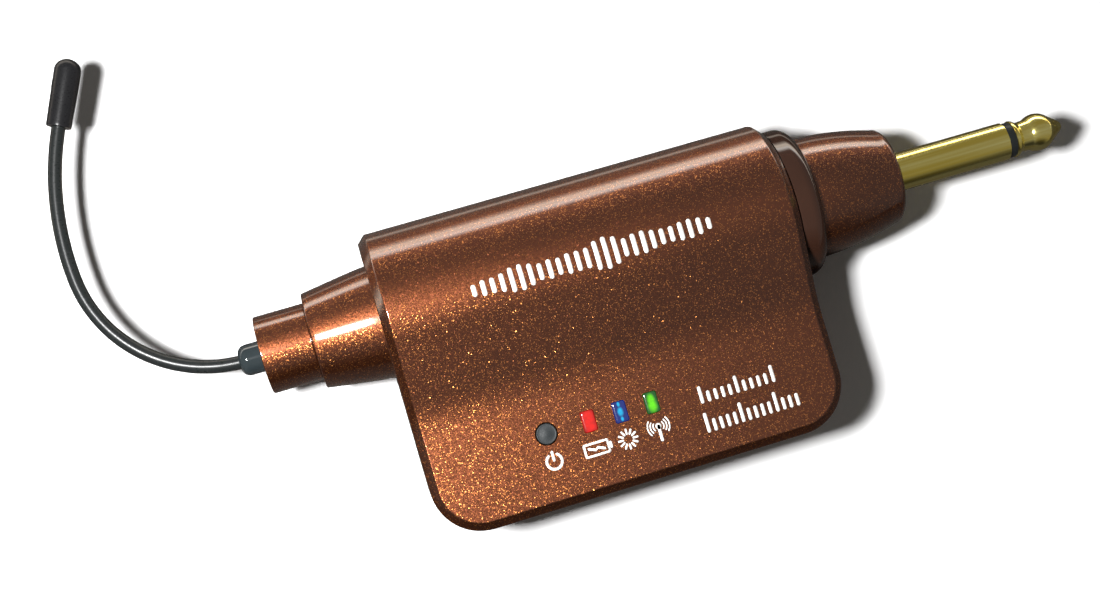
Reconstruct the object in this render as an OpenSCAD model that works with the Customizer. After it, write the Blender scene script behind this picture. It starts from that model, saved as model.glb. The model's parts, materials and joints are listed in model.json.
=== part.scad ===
/* [Case] */
// Length of the painted case along the plug axis
case_len = 67; // [66:0.5:70]
// Diameter of the round barrel along the case's upper edge
barrel_d = 28; // [27.6:0.2:29]
// Distance from the plug axis down to the case's lower edge
case_drop = 36; // [36:0.5:39]
// Height of the flat front face above the plug axis
face_h = 9; // [8.8:0.1:9.4]
// Depth of the flat back below the plug axis
back_h = 12.5; // [12.4:0.1:13]
// Wall thickness of the two case halves
wall = 1.8; // [1.6:0.1:1.9]
// Radius of the case's two lower corners
corner_r = 8; // [7:0.5:9]
// Width of the chamfer around the case's outer edges
edge = 1.3; // [0.8:0.1:1.5]
// Slope of the ramp between the barrel and the flat face, in degrees
ramp_angle = 19; // [18:0.5:22]

/* [Nose and plug] */
// Distance from the case's right end to the root of the plug
nose_len = 19.6; // [19:0.1:24]
// Diameter of the nose where it meets the trim ring
nose_d = 20; // [19:0.5:21]
// Diameter of the nose just behind its rounded face
nose_face_d = 15.9; // [14:0.1:17]
// Largest diameter of the trim ring
ring_d = 24.6; // [23:0.2:25]
// Diameter of the plug, a standard quarter-inch jack
plug_d = 6.35; // [6.3:0.01:6.35]
// Length of the plug's sleeve beyond the nose
sleeve_len = 20.6; // [19:0.1:21]
// Full length of the plug beyond the nose
plug_len = 31.1; // [30:0.1:32]

/* [Antenna] */
// Length of the tapered collar outside the case
collar_len = 10.8; // [9:0.1:13]
// Diameter of the tapered collar at the case
collar_d = 18.4; // [17.6:0.1:19]
// Diameter of the tapered collar at its narrow end
collar_end_d = 15.4; // [14:0.1:16]
// Length of the straight bush outside the collar
bush_len = 8.2; // [7.6:0.1:10]
// Diameter of the straight bush
bush_d = 12.5; // [11:0.1:13]
// Diameter of the boot where the whip leaves the bush
boot_d = 5; // [4.4:0.1:5.4]
// Diameter of the flexible whip
whip_d = 2.2; // [2.2:0.05:2.4]
// Radius of the whip's first bend
bend_r = 21.7; // [20:0.1:26]
// Angle turned by the whip in its first bend, in degrees
bend_a = 85; // [80:1:90]
// Radius of the whip's second, gentler bend
outer_bend_r = 48; // [42:1:60]
// Angle turned by the whip in its second bend, in degrees
outer_bend_a = 29; // [24:1:36]
// Length of the cap on the whip's end
cap_len = 11; // [10:0.5:13]
// Diameter of the cap on the whip's end
cap_d = 4.2; // [3.6:0.1:4.6]

/* [Controls] */
// Distance from the case's left end to the power button
button_in = 19.6; // [18:0.1:21]
// Distance from the plug axis down to the row of controls
control_drop = 24.3; // [23.5:0.1:25.5]
// Diameter of the power button
button_d = 3.3; // [3:0.1:3.6]
// Travel of the power button
button_travel = 0.3; // [0.2:0.05:0.35]
// Distance from the power button to the first indicator lamp
lamp_in = 6.85; // [6.5:0.05:7.5]
// Spacing of the three indicator lamps
lamp_pitch = 5.1; // [4.6:0.1:5.6]
// Width of an indicator lamp along the row
lamp_w = 2.1; // [1.8:0.1:2.3]
// Length of an indicator lamp across the row
lamp_l = 3.3; // [3:0.1:3.5]

/* [Hidden] */
// The origin is the plug's root on the plug axis. +X runs along the plug to its tip, +Y from the
// flat face up to the barrel, and +Z out of the front face.
case_x1 = -nose_len;
case_x0 = case_x1 - case_len;
case_y0 = -case_drop;
barrel_r = barrel_d / 2;
inner_x0 = case_x0 + wall;
inner_x1 = case_x1 - wall;
inner_y0 = case_y0 + wall;
inner_back = wall - back_h;
inner_front = face_h - wall;

// Clearances: a loose part in its hole, and a sliding or turning part in its guide
loose = 0.1;
slip = 0.05;

// Spigots: the part of the nose and of the collar that is held inside the case's end walls
spigot_r = 8;
flange_r = 9.5;
flange_t = 1.4;

// Board: its two faces, and its edges inside the case
board_t = 1;
board_gap = 0.3;
board_top = 4.2;
board_bottom = board_top - board_t;
board_x0 = inner_x0 + flange_t + board_gap;
board_x1 = inner_x1 - flange_t - board_gap;
board_y0 = inner_y0 + 1;
board_y1 = -5.5;

// Places of the four case screws and the three board screws
low_screw_y = case_y0 + 6.5;
low_screw_x = [case_x0 + 6.5, case_x1 - 6.5];
high_screw_y = 3;
high_screw_x = [case_x0 + 13.5, case_x1 - 13.5];
case_screws_at = concat([for (x = low_screw_x) [x, low_screw_y]], [for (x = high_screw_x) [x, high_screw_y]]);
board_screws_at = [[case_x0 + 5.5, -10], [case_x1 - 6, -10], [case_x1 - 25.5, -30.5]];
boss_r = 2.8;
post_r = 1.9;
case_screw_r = 1;
case_head_r = 1.9;
case_head_h = 1.5;
case_shank = 15;
counterbore = 2;
board_screw_r = 0.8;
board_head_r = 1.5;
board_head_h = 0.9;
board_shank = 3.5;

// Trim ring and nose
ring_len = 4.6;
ring_gap = 0.2;
ring_seat_r = 8.45;
nose_x0 = case_x1 + ring_len;
shoulder = 1.5;
face_r = 5;
plug_bore_r = plug_d / 2 + slip;
rear_bore_r = 5.6;
rear_bore_x = -8;

// Plug: its insulator, its rear stack and its tip
insulator_gap = 1.3;
relief = 0.2;
tube_r = 1.9;
rod_r = 1.2;
stub_r = 3;
tip_x = sleeve_len + insulator_gap;
ball_r = 3.12;
ball_x = plug_len - 4.6;
neck_r = 2.45;
sleeve_tag_x = -18.5;
sleeve_tag_turn = 40;
tip_tag_x = -20;
tip_tag_turn = -20;
tag_t = 0.5;
tag_reach = 4.3;
sleeve_flange_t = 2;
retainer_t = 3.5;

// Antenna base
collar_x0 = case_x0 - collar_len;
bush_x0 = collar_x0 - bush_len;
tail_r = 3;
boot_x0 = bush_x0 - 3.8;
boot_x1 = bush_x0 + 3.9;
whip_r = whip_d / 2;
whip_start = bush_x0 - 3.1;
root_x = bush_x0 + 6;
bush_x1 = inner_x0 + 4;
coax_r = 0.57;
coax_socket_at = [case_x0 + 10.5, -9];
coax_socket_h = 1.3;

// The whip's straight ends are a hair thinner than its bends, which overlap them by a small angle
straight_r = whip_r - 0.01;
overlap_a = 0.5;

// Solid length at the cap's closed end
cap_solid = 2.4;

// Whip chain: four links on the first bend and three on the second, joined by captive balls
root_turn = 5;
near_links = 4;
far_links = 3;
near_step = (bend_a - root_turn) / near_links;
far_step = outer_bend_a / far_links;
joint_ball_r = 0.75;
socket_r = joint_ball_r + slip;
neck_link_r = 0.45;
socket_lip = 0.35;
link_setback = 1.25;

// Controls
button_x = case_x0 + button_in;
button_r = button_d / 2;
button_top = face_h + 0.4;
switch_h = 1.5;
plunger_r = 0.8;
plunger_bottom = board_top + 0.7;
flange_top = inner_front - loose;
flange_bottom = flange_top - 0.8;
lamp_x = [for (i = [0 : 2]) button_x + lamp_in + i * lamp_pitch];
lamp_top = face_h + 0.15;
lamp_base = board_top + 0.4;
leg_half_pitch = 1.27;

// Charge socket and battery
socket_y = -20;
socket_w = 7.5;
socket_h = 2.7;
socket_len = 5.4;
socket_x0 = case_x1 - 0.7 - socket_len;
socket_low = board_bottom - socket_h;
cell_x0 = case_x0 + 11;
cell_x1 = case_x0 + 49;
cell_y0 = inner_y0 + 1.2;
cell_y1 = -7;
pad_t = 0.5;
cell_t = 6.5;
connector_x = cell_x1 + 4.6;
connector_y = -12;
plug_size = [4.2, 5.5, 3];

// Insulated leads: their radius, and how far the battery's two leads sit from their plug's middle
lead_r = 0.45;
lead_spread = 1;

paint = [0.36, 0.18, 0.11];
gold = [0.83, 0.68, 0.3];
steel = [0.75, 0.75, 0.77];
black = [0.07, 0.07, 0.08];
white = [0.92, 0.92, 0.9];

$fn = 64;

// ---- Shapes that repeat ----

// Turns a profile of [x, radius] points about the plug axis
module turned(profile) {
    rotate([0, 90, 0])
        rotate_extrude() polygon([for (p = profile) [p[1], p[0]]]);
}

// Round bar along the plug axis
module bar_x(x0, x1, r) {
    translate([x0, 0, 0]) rotate([0, 90, 0]) cylinder(h = x1 - x0, r = r);
}

// Prism along X over an outline of [y, z] points
module prism_x(x0, x1, outline) {
    translate([x0, 0, 0]) rotate([90, 0, 90]) linear_extrude(x1 - x0) polygon(outline);
}

// Points on a circular arc
function arc(cx, cy, r, a0, a1, steps = 6) = [
    for (i = [0 : steps])
        let (a = a0 + (a1 - a0) * i / steps)
            [cx + r * cos(a), cy + r * sin(a)]
];

// Upright post of radius r from height z0 to z1 at a place [x, y]
module post(at, r, z0, z1) {
    translate([at[0], at[1], z0]) cylinder(h = z1 - z0, r = r);
}

// Block with its low corner at [x, y, z]
module block(low, size) {
    translate(low) cube(size);
}

// Block standing on height z, centred on [x, y]
module chip(at, z, size) {
    block([at[0] - size[0] / 2, at[1] - size[1] / 2, z], size);
}

// Straight piece of wire between two points
module wire_piece(a, b, r) {
    run = b - a;
    translate(a)
        rotate([0, acos(run[2] / norm(run)), atan2(run[1], run[0])])
            cylinder(h = norm(run), r = r);
}

// Wire of radius r through a list of points, with a round knuckle at each bend
module wire(path, r) {
    elbow_r = 1.3 * r;
    elbow_turn = [10, 20, 30];
    for (i = [0 : len(path) - 2]) wire_piece(path[i], path[i + 1], r);
    for (i = [1 : len(path) - 2]) translate(path[i]) rotate(elbow_turn) sphere(elbow_r);
}

// ---- Case ----

// Height of the ramp's line over a place y, for the surface a distance inset below the outside
function ramp_z(y, inset) = (barrel_r - inset + y * sin(ramp_angle)) / cos(ramp_angle);

// Outline of the ramp from its tangent point on the barrel to a point inside the flat part
function ramp_outline(inset) =
    let (r = barrel_r - inset, low_y = -20)
        [[-r * sin(ramp_angle), r * cos(ramp_angle)], [low_y, ramp_z(low_y, inset)], [low_y, 0], [0, 0]];

// Plan of the flat part, with two round lower corners
module plan(inset) {
    r = corner_r - inset;
    for (x = [case_x0 + corner_r, case_x1 - corner_r]) translate([x, case_y0 + corner_r]) circle(r);
    translate([case_x0 + corner_r, case_y0 + inset]) square([case_len - 2 * corner_r, corner_r]);
    translate([case_x0 + inset, case_y0 + corner_r]) square([case_len - 2 * inset, case_drop - corner_r]);
}

// One layer of the flat part between two heights
module layer(inset, z0, z1) {
    translate([0, 0, z0]) linear_extrude(z1 - z0) plan(inset, $fn = 48);
}

// Outside of the whole case, before it is split and hollowed
module case_outside() {
    difference() {
        union() {
            turned([
                [case_x0, 0], [case_x0, barrel_r - edge], [case_x0 + edge, barrel_r],
                [case_x1 - edge, barrel_r], [case_x1, barrel_r - edge], [case_x1, 0],
            ]);
            hull() {
                layer(0, edge - back_h, face_h - edge);
                layer(edge, -back_h, face_h);
            }
            hull() {
                prism_x(case_x0, case_x1, ramp_outline(edge));
                prism_x(case_x0 + edge, case_x1 - edge, ramp_outline(0));
            }
        }
        block([case_x0 - 1, case_y0 - 1, -barrel_d], [case_len + 2, case_drop + barrel_d, barrel_d - back_h]);
    }
}

// Space inside the case
module case_space() {
    intersection() {
        bar_x(inner_x0, inner_x1, barrel_r - wall);
        block([case_x0, -barrel_r, inner_back], [case_len, barrel_d, barrel_d]);
    }
    translate([0, 0, inner_back]) linear_extrude(inner_front - inner_back) plan(wall);
    prism_x(inner_x0, inner_x1, ramp_outline(wall));
}

// Half of the case: side is 1 for the front half and -1 for the back half
module half_case(side) {
    z0 = side > 0 ? 0 : -barrel_d;
    difference() {
        intersection() {
            case_outside();
            block([case_x0 - 1, case_y0 - 1, z0], [case_len + 2, case_drop + barrel_d, barrel_d]);
        }
        case_space();
        bar_x(case_x0 - 1, inner_x0 + 1, spigot_r + slip);
        bar_x(inner_x1 - 1, case_x1 + 1, spigot_r + slip);
    }
}

// Height of the case's inner surface over a place y
function ceiling(y) =
    y > 0 ? sqrt(pow(barrel_r - wall, 2) - y * y) : max(inner_front, ramp_z(y, wall));

module front_shell() {
    root = 0.4 * wall;
    tongue_t = 0.9;
    tongue_h = 1.5;
    opening_gap = 0.4;
    case_pilot_z = 5.5;
    board_pilot_z = 7;
    color(paint)
    difference() {
        union() {
            half_case(1);
            for (at = case_screws_at) post(at, boss_r, 0, ceiling(at[1]) + root);
            for (at = board_screws_at) post(at, post_r, board_top, ceiling(at[1]) + root);
            block([cell_x0, inner_y0 - root, 0], [cell_x1 - cell_x0, tongue_t + root, tongue_h]);
            block([cell_x0, inner_y0 + loose, -tongue_h], [cell_x1 - cell_x0, tongue_t - loose, 2 * tongue_h]);
        }
        for (at = case_screws_at) post(at, case_screw_r + slip, -1, case_pilot_z);
        for (at = board_screws_at) post(at, board_screw_r + slip, 0, board_pilot_z);
        post([button_x, -control_drop], button_r + slip, inner_front - 1, face_h + 1);
        for (x = lamp_x) chip([x, -control_drop], inner_front - 1, [lamp_w + loose, lamp_l + loose, wall + 2]);
        block([inner_x1 - 1, socket_y - socket_w / 2 - opening_gap, socket_low - opening_gap],
              [wall + 2, socket_w + 2 * opening_gap, socket_h + 2 * opening_gap]);
    }
}

module back_shell() {
    root = 0.4 * wall;
    color(paint)
    difference() {
        union() {
            half_case(-1);
            for (at = case_screws_at) post(at, boss_r, inner_back - root, 0);
        }
        for (at = case_screws_at) {
            post(at, case_screw_r + loose, -back_h, 1);
            post(at, case_head_r + loose, -back_h - 1, counterbore - back_h);
        }
    }
}

// Pan-head screws with a crossed slot, standing upright with the head at the bottom
module screws(places, head_z, head_r, head_h, shank_r, shank_len, slot) {
    for (at = places) difference() {
        union() {
            post(at, head_r, head_z, head_z + head_h);
            post(at, shank_r, head_z + head_h, head_z + head_h + shank_len);
        }
        for (turn = [0, 90])
            translate([at[0], at[1], head_z]) rotate(turn) cube([1.4 * head_r, slot, head_h], center = true);
    }
}

module case_screws() {
    color(steel)
        screws(case_screws_at, counterbore - back_h - case_head_h, case_head_r, case_head_h,
               case_screw_r, case_shank, 0.5);
}

// ---- Nose and plug ----

module trim_ring() {
    crest_r = ring_d / 2;
    crest_end = case_x1 + 2.2;
    bore_r = ring_seat_r + slip;
    end_x = nose_x0 - slip;
    start_x = case_x1 + ring_gap;
    run = end_x - crest_end;
    fall = crest_r - nose_d / 2;
    color(paint)
        turned(concat(
            [[start_x, bore_r], [start_x, crest_r - 0.3], [start_x + 0.3, crest_r]],
            [for (p = arc(0, 0, 1, 90, 5, 6)) [crest_end + run * p[0], crest_r - fall * (1 - p[1])]],
            [[end_x, nose_d / 2 - 0.4], [end_x, bore_r]]
        ));
}

module nose_housing() {
    flange_x1 = inner_x1 - slip;
    face_front_r = nose_face_d / 2;
    round_r = min(shoulder, face_front_r - face_r);
    color(paint)
        turned(concat(
            [
                [flange_x1 - flange_t, rear_bore_r], [flange_x1 - flange_t, flange_r], [flange_x1, flange_r],
                [flange_x1, spigot_r], [case_x1, spigot_r], [case_x1, ring_seat_r],
                [nose_x0, ring_seat_r], [nose_x0, nose_d / 2],
            ],
            arc(-round_r, face_front_r - round_r, round_r, 85, 0),
            [[0, plug_bore_r], [rear_bore_x, plug_bore_r], [rear_bore_x, rear_bore_r]]
        ));
}

module plug_sleeve() {
    flange_out = rear_bore_r - loose;
    chamfer = 0.15;
    flange_rear = rear_bore_x - sleeve_flange_t;
    color(gold)
        turned([
            [0, tube_r + slip], [sleeve_len, tube_r + slip], [sleeve_len, plug_d / 2 - chamfer],
            [sleeve_len - chamfer, plug_d / 2], [0, plug_d / 2], [0, plug_d / 2 - relief],
            [rear_bore_x, plug_d / 2 - relief], [rear_bore_x, flange_out], [flange_rear, flange_out],
            [flange_rear, stub_r], [sleeve_tag_x + tag_t, stub_r], [sleeve_tag_x + tag_t, tube_r + slip],
        ]);
}

// Ring that holds the plug's flange against the step inside the nose
module plug_retainer() {
    x1 = rear_bore_x - sleeve_flange_t;
    x0 = x1 - retainer_t;
    notch = 1.2;
    notch_y = 4.5;
    color(steel)
    difference() {
        bar_x(x0, x1, rear_bore_r - loose);
        bar_x(x0 - 1, x1 + 1, stub_r + loose);
        for (side = [-1, 1]) translate([x0, side * notch_y, 0]) cube([2 * notch, notch, notch], center = true);
    }
}

module plug_insulator() {
    ring_r = plug_d / 2 - relief;
    rear_x = tip_tag_x + tag_t;
    color([0.2, 0.2, 0.22])
        turned([
            [tip_x, rod_r + slip], [tip_x, ring_r], [sleeve_len, ring_r], [sleeve_len, tube_r],
            [rear_x, tube_r], [rear_x, rod_r + slip],
        ]);
}

// Tip of the plug: a short collar, a waist, a ball and a blunt cone, on a rod that runs to the rear
module plug_tip() {
    head_r = rod_r + 0.4;
    head_x = tip_tag_x - 0.9;
    collar_r = plug_d / 2 - relief;
    collar_t = 0.5;
    waist_w = 0.7;
    waist_h = 0.47;
    waist_x = tip_x + collar_t + 1;
    ball_start = 180 - asin(neck_r / ball_r);
    cone_start = 50;
    nose_r = 0.6;
    cone_x = ball_x + ball_r * cos(cone_start);
    cone_r = ball_r * sin(cone_start);
    apex_x = cone_x + (cone_r - nose_r) * tan(cone_start);
    color(gold)
        turned(concat(
            [[head_x, 0], [head_x, head_r], [tip_tag_x, head_r], [tip_tag_x, rod_r], [tip_x, rod_r]],
            [[tip_x, collar_r], [tip_x + collar_t, collar_r]],
            [for (p = arc(0, 0, 1, 180, 250, 4)) [waist_x + waist_w * p[0], neck_r + waist_h * (1 + p[1])]],
            arc(ball_x, 0, ball_r, ball_start, cone_start, 8),
            [[apex_x, nose_r], [plug_len, 0]]
        ));
}

// Round solder tag with an ear, threaded on the plug's rear stack
module solder_tag(x, hole_r, turn) {
    rim = 0.9;
    ear_w = 2;
    ear_len = tag_reach + 0.7;
    rotate([turn, 0, 0])
    difference() {
        union() {
            bar_x(x, x + tag_t, hole_r + rim);
            block([x, -ear_len, -ear_w / 2], [tag_t, ear_len, ear_w]);
        }
        bar_x(x - 1, x + tag_t + 1, hole_r);
    }
}

module sleeve_tag() {
    color(gold) solder_tag(sleeve_tag_x, tube_r + slip, sleeve_tag_turn);
}

module rear_washer() {
    color(white)
    difference() {
        bar_x(tip_tag_x + tag_t, sleeve_tag_x, tube_r + 0.8);
        bar_x(tip_tag_x, sleeve_tag_x + 1, tube_r + slip);
    }
}

module tip_tag() {
    color(gold) solder_tag(tip_tag_x, rod_r + slip, tip_tag_turn);
}

// Lead from a tag's ear, back through the nose and up to a pad under the board
module plug_lead(tag_x, turn, pad_x) {
    y = -tag_reach * cos(turn);
    z = -tag_reach * sin(turn);
    pad_z = board_bottom - lead_r;
    start = tag_x - lead_r;
    wire([[start, y, z], [pad_x + 1.5, y, z], [pad_x, board_y1 - 1.5, pad_z]], lead_r);
}

module sleeve_lead() {
    color(black) plug_lead(sleeve_tag_x, sleeve_tag_turn, case_x1 - 8);
}

module tip_lead() {
    color("firebrick") plug_lead(tip_tag_x, tip_tag_turn, case_x1 - 11);
}

// ---- Antenna ----

module antenna_collar() {
    flange_x0 = inner_x0 + slip;
    end_r = collar_end_d / 2;
    chamfer = 0.2;
    color(paint)
        turned([
            [collar_x0, tail_r + slip], [collar_x0, end_r - chamfer], [collar_x0 + chamfer, end_r],
            [case_x0, collar_d / 2], [case_x0, spigot_r], [flange_x0, spigot_r],
            [flange_x0, flange_r], [flange_x0 + flange_t, flange_r], [flange_x0 + flange_t, tail_r + slip],
        ]);
}

module antenna_bush() {
    chamfer = 0.3;
    pocket_r = boot_d / 2 + slip;
    color(paint)
        turned([
            [bush_x0, pocket_r], [bush_x0, bush_d / 2 - chamfer], [bush_x0 + chamfer, bush_d / 2],
            [collar_x0, bush_d / 2], [collar_x0, tail_r], [bush_x1, tail_r], [bush_x1, coax_r + loose],
            [root_x + 0.2, coax_r + loose], [root_x + 0.2, whip_r + slip], [boot_x1 + slip, whip_r + slip],
            [boot_x1 + slip, pocket_r],
        ]);
}

module antenna_nut() {
    nut_x = inner_x0 + slip + flange_t;
    nut_t = 2.2;
    nut_r = 5;
    color(steel)
    difference() {
        translate([nut_x, 0, 0]) rotate([0, 90, 0]) cylinder(h = nut_t, r = nut_r, $fn = 6);
        bar_x(nut_x - 1, nut_x + nut_t + 1, tail_r + slip);
    }
}

module antenna_boot() {
    round_r = 1.3;
    bore_r = whip_r + 0.02;
    color(black)
        turned(concat(
            [[boot_x1, bore_r], [boot_x1, boot_d / 2]],
            arc(boot_x0 + round_r, boot_d / 2 - round_r, round_r, 90, 180),
            [[boot_x0, bore_r]]
        ));
}

// Thin coaxial lead from the whip's root to its connector on the board
module antenna_coax() {
    over = board_top + 2.2;
    at = coax_socket_at;
    color([0.35, 0.35, 0.37])
        wire([[root_x, 0, 0], [bush_x1 + 1.5, 0, 0], [at[0] - 1, -3.5, over], [at[0], at[1], over],
              [at[0], at[1], board_top + coax_socket_h]], coax_r);
}

module coax_connector() {
    dimple = 0.4;
    color(gold)
    difference() {
        union() {
            chip(coax_socket_at, board_top, [3, 2.6, 0.4]);
            post(coax_socket_at, 1.2, board_top, board_top + coax_socket_h);
        }
        post(coax_socket_at, dimple, board_top + coax_socket_h - dimple, board_top + 2 * coax_socket_h);
    }
}

// Place [x, y, heading] after following a right-hand bend of radius r through angle a
function after_bend(p, r, a) = [
    p[0] + r * (sin(p[2]) - sin(p[2] - a)),
    p[1] - r * (cos(p[2]) - cos(p[2] - a)),
    p[2] - a
];
function link_r(i) = i <= near_links ? bend_r : outer_bend_r;
function link_a(i) = i <= near_links ? near_step : far_step;
// Place of ball joint number i, counted from 1 at the boot
function joint_at(i) =
    i == 1 ? after_bend([whip_start, 0, 180], bend_r, root_turn)
           : after_bend(joint_at(i - 1), link_r(i - 1), link_a(i - 1));
last_link = near_links + far_links;

// Moves its children to ball joint number i, with local +X along the whip
module at_joint(i) {
    p = joint_at(i);
    translate([p[0], p[1], 0]) rotate(p[2]) children();
}

// Ball, or the space for one, with its poles on the local X axis
module ball(r) {
    rotate([0, 90, 0]) sphere(r);
}

// Part of a right-hand bend of radius R between two angles, starting along +X
module bend_tube(R, a0, a1, r) {
    translate([0, -R, 0]) rotate(90 - a1)
        rotate_extrude(angle = a1 - a0) translate([R, 0]) circle(r);
}

// Fixed root of the whip, from inside the bush to the first ball's socket
module whip_root() {
    color(black)
    difference() {
        union() {
            bar_x(whip_start, root_x, straight_r);
            translate([whip_start, 0, 0]) rotate(180)
                bend_tube(bend_r, -overlap_a, root_turn + asin(socket_lip / bend_r), whip_r);
        }
        at_joint(1) ball(socket_r);
    }
}

// One link of the whip: a ball, a neck, a curved body, then the next ball's socket
module whip_link(i) {
    R = link_r(i);
    turn = link_a(i);
    body_start = asin(link_setback / R);
    is_last = i == last_link;
    body_end = turn + (is_last ? overlap_a : asin(socket_lip / R));
    color(black)
    difference() {
        union() {
            at_joint(i) {
                ball(joint_ball_r);
                bar_x(0, link_setback + slip, neck_link_r);
                bend_tube(R, body_start, body_end, whip_r);
            }
            if (is_last) at_joint(i + 1) bar_x(0, cap_len - cap_solid - loose, straight_r);
        }
        if (!is_last) at_joint(i + 1) ball(socket_r);
    }
}

module antenna_cap() {
    mouth_r = cap_d / 2 - 0.15;
    dome_r = cap_d / 2;
    bore_r = whip_r + slip;
    bore_end = cap_len - cap_solid;
    color(black)
        at_joint(last_link + 1)
            turned(concat(
                [[0, bore_r], [0, mouth_r - 0.15], [0.15, mouth_r]],
                [for (p = arc(0, 0, 1, 90, 0, 8)) [cap_len - dome_r + dome_r * p[0], dome_r * p[1]]],
                [[bore_end, 0], [bore_end, bore_r]]
            ));
}

// ---- Controls ----

module power_button() {
    at = [button_x, -control_drop];
    flange_w = 0.7;
    bevel_h = 0.15;
    bevel_w = 0.4;
    color([0.18, 0.19, 0.2]) {
        post(at, button_r + flange_w, flange_bottom, flange_top);
        post(at, button_r, flange_bottom, button_top - bevel_h);
        translate([at[0], at[1], button_top - bevel_h])
            cylinder(h = bevel_h, r1 = button_r, r2 = button_r - bevel_w);
    }
}

module switch_plunger() {
    color(black) post([button_x, -control_drop], plunger_r, plunger_bottom, flange_bottom);
}

module switch_body() {
    color([0.3, 0.3, 0.32])
    difference() {
        chip([button_x, -control_drop], board_top, [4.5, 4.5, switch_h]);
        post([button_x, -control_drop], plunger_r + slip, plunger_bottom - button_travel - loose, flange_top);
    }
}

// Rectangular indicator lamp with a foot that stops it inside the case
module lamp(i) {
    at = [lamp_x[i], -control_drop];
    foot = 0.6;
    foot_t = 1;
    chip(at, lamp_base, [lamp_w + foot, lamp_l + foot, foot_t]);
    chip(at, lamp_base, [lamp_w, lamp_l, lamp_top - lamp_base]);
}

module lamp_red() {
    color([0.9, 0.1, 0.08, 0.85]) lamp(0);
}

module lamp_blue() {
    color([0.1, 0.35, 0.95, 0.85]) lamp(1);
}

module lamp_green() {
    color([0.2, 0.85, 0.2, 0.85]) lamp(2);
}

module lamp_legs() {
    leg_w = 0.4;
    leg_z = board_bottom - 0.8;
    color(steel)
        for (x = lamp_x, side = [-1, 1])
            chip([x, -control_drop + side * leg_half_pitch], leg_z, [leg_w, leg_w, lamp_base - leg_z]);
}

// ---- Board ----

module main_board() {
    color([0.05, 0.3, 0.15])
    difference() {
        block([board_x0, board_y0, board_bottom], [board_x1 - board_x0, board_y1 - board_y0, board_t]);
        for (x = low_screw_x) post([x, low_screw_y], boss_r + 0.3, 0, face_h);
        for (side = [0, 1])
            block([side ? low_screw_x[1] : board_x0 - 1, board_y0 - 1, 0],
                  [low_screw_x[0] - board_x0 + 1, low_screw_y - board_y0 + 1, face_h]);
        for (at = board_screws_at) post(at, board_screw_r + loose, 0, face_h);
        for (x = lamp_x, side = [-1, 1])
            post([x, -control_drop + side * leg_half_pitch], 0.4, 0, face_h);
    }
}

module board_screws() {
    color(steel)
        screws(board_screws_at, board_bottom - board_head_h, board_head_r, board_head_h,
               board_screw_r, board_shank, 0.35);
}

module radio_shield() {
    size = [14, 8, 1.6];
    skin = 0.2;
    at = [case_x0 + 19, -15.5];
    color(steel)
    difference() {
        chip(at, board_top, size);
        chip(at, board_top - 1, [size[0] - 2 * skin, size[1] - 2 * skin, size[2] + 1 - skin]);
    }
}

module processor_chip() {
    color(black) chip([case_x0 + 33.5, -13.5], board_top, [6, 6, 0.9]);
}

module audio_chip() {
    color(black) chip([case_x0 + 45.5, -14], board_top, [5, 4.4, 1]);
}

module charger_chip() {
    size = [4, 4, 0.9];
    color(black) chip([case_x1 - 13.5, -22], board_bottom - size[2], size);
}

module clock_crystal() {
    color(steel) chip([case_x0 + 28.3, -13.5], board_top, [2.5, 3.2, 0.7]);
}

// Rows of small resistors and capacitors on the board's front
module board_parts() {
    rows = 3;
    columns = 4;
    color([0.55, 0.45, 0.3])
        for (column = [0 : columns - 1], row = [0 : rows - 1])
            chip([case_x0 + 44 + 3 * column, -20.5 - 2.2 * row], board_top, [1.6, 0.8, 0.6]);
}

// ---- Charging and battery ----

module charge_socket() {
    skin = 0.3;
    color(steel)
    difference() {
        block([socket_x0, socket_y - socket_w / 2, socket_low], [socket_len, socket_w, socket_h]);
        block([socket_x0 + skin, socket_y - socket_w / 2 + skin, socket_low + skin],
              [socket_len, socket_w - 2 * skin, socket_h - 2 * skin]);
    }
}

// Plastic plate at the socket's rear, with the tongue that carries the contacts
module charge_tongue() {
    inset = 0.35;
    plate_w = socket_w - 0.9;
    tongue_w = 4;
    x0 = socket_x0 + inset;
    color(black) {
        block([x0, socket_y - plate_w / 2, socket_low + inset], [1, plate_w, socket_h - 2 * inset]);
        block([x0, socket_y - tongue_w / 2, socket_low + 1.3], [socket_len - 1.2, tongue_w, 0.6]);
    }
}

module battery_cell() {
    corner = 1.2;
    size = [cell_x1 - cell_x0, cell_y1 - cell_y0, cell_t];
    color([0.75, 0.77, 0.8])
        translate([cell_x0, cell_y0, inner_back + pad_t])
            for (along = [0, 1]) {
                inset = along ? corner : 0;
                translate([inset, corner - inset, 0])
                    cube([size[0] - 2 * inset, size[1] - 2 * (corner - inset), size[2]]);
                for (end = [0, 1])
                    translate([along ? size[0] - corner : corner, end ? size[1] - corner : corner, 0])
                        cylinder(h = size[2], r = corner);
            }
}

module battery_pad() {
    inset = 2;
    color([0.25, 0.25, 0.27])
        block([cell_x0 + inset, cell_y0 + inset, inner_back],
              [cell_x1 - cell_x0 - 2 * inset, cell_y1 - cell_y0 - 2 * inset, pad_t]);
}

// Lead from the battery's end up to its plug under the board
module battery_lead(offset) {
    y = connector_y + offset;
    z0 = inner_back + pad_t + cell_t / 2;
    z1 = board_bottom - plug_size[2] / 2;
    x = cell_x1 + 1.2;
    wire([[cell_x1, y, z0], [x, y, z0], [x, y, z1], [connector_x - plug_size[0] / 2, y, z1]], lead_r);
}

module battery_lead_red() {
    color("red") battery_lead(lead_spread);
}

module battery_lead_black() {
    color(black) battery_lead(-lead_spread);
}

module battery_plug() {
    color(white) chip([connector_x, connector_y], board_bottom - plug_size[2], plug_size);
}

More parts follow.
